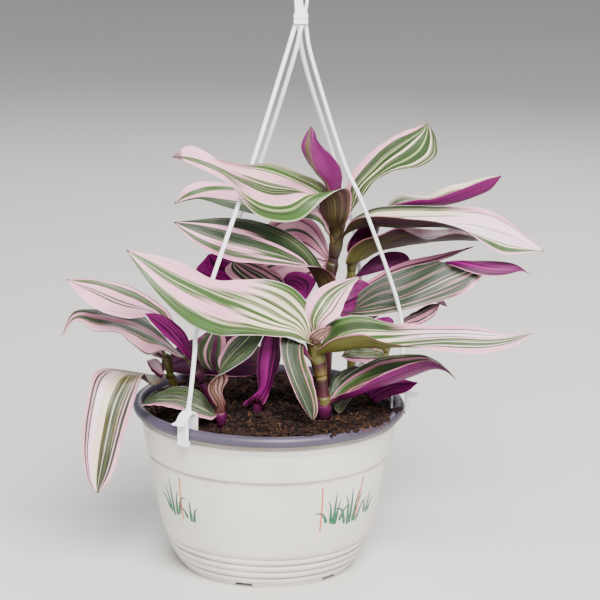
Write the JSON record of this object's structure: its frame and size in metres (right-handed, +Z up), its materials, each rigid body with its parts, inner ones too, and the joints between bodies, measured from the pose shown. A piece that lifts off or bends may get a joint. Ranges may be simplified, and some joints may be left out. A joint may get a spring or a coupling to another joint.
{
  "type": "potted tradescantia",
  "caption": "Houseplant with striped pink and green leaves in a round plastic hanging pot with a clip-on hanger.",
  "frame": {"origin": "on the floor under the middle of the pot's flat base pad", "axes": "+Z up, -Y to the front, +X to the right as seen from the front"},
  "size_m": [0.314, 0.2105, 0.4035],
  "materials": {
    "pot": "satin",
    "hanger": "satin",
    "soil": "matte",
    "stem": "satin",
    "green_stem": "satin",
    "leaf_pink": "satin",
    "leaf_cream": "satin",
    "leaf_green": "satin",
    "leaf_dark_green": "satin",
    "leaf_grey_green": "satin",
    "leaf_magenta": "satin",
    "leaf_olive": "satin"
  },
  "bodies": {
    "root": {"pot": "pot", "soil": "soil", "hanger_hub": "hanger", "strand_front_left": "hanger", "strand_right": "hanger", "strand_rear_left": "hanger", "strand_rear_right": "hanger", "stem_tall": "stem", "stem_tall_right": "green_stem", "stem_right": "green_stem", "stem_front": "stem", "stem_left": "stem", "stem_left_short": "green_stem", "stem_low_front": "stem", "stem_rear": "stem", "stem_middle": "stem", "leaf_top_left": "leaf_pink", "leaf_upper_left": "leaf_pink", "leaf_dark_left": "leaf_dark_green", "leaf_bud": "leaf_magenta", "leaf_top_right": "leaf_pink", "leaf_right_arch": "leaf_cream", "leaf_backlit": "leaf_pink", "leaf_magenta_inner": "leaf_magenta", "leaf_right_high": "leaf_magenta", "leaf_olive_right": "leaf_olive", "leaf_magenta_right": "leaf_magenta", "leaf_thin_right": "leaf_pink", "leaf_grey_right": "leaf_grey_green", "leaf_back_right": "leaf_pink", "leaf_under_grey": "leaf_grey_green", "leaf_magenta_small": "leaf_magenta", "leaf_pink_right": "leaf_pink", "leaf_low_magenta": "leaf_magenta", "leaf_front_left": "leaf_pink", "leaf_front_right": "leaf_pink", "leaf_upright_small": "leaf_pink", "leaf_small_bud": "leaf_magenta", "leaf_hanging_front": "leaf_green", "leaf_low_right": "leaf_olive", "leaf_low_dark": "leaf_grey_green", "leaf_left_high": "leaf_pink", "leaf_left_middle": "leaf_pink", "leaf_left_folded": "leaf_magenta", "leaf_striped_behind": "leaf_dark_green", "leaf_left_behind": "leaf_green", "leaf_drooping": "leaf_pink", "leaf_left_small": "leaf_magenta", "leaf_on_soil": "leaf_dark_green", "leaf_twisted": "leaf_green", "leaf_upright_magenta": "leaf_magenta", "leaf_magenta_left": "leaf_magenta", "leaf_striped_left": "leaf_dark_green", "leaf_magenta_middle": "leaf_magenta", "leaf_back_left": "leaf_pink", "leaf_back_middle": "leaf_green", "leaf_back_low": "leaf_pink"}
  },
  "joints": []
}
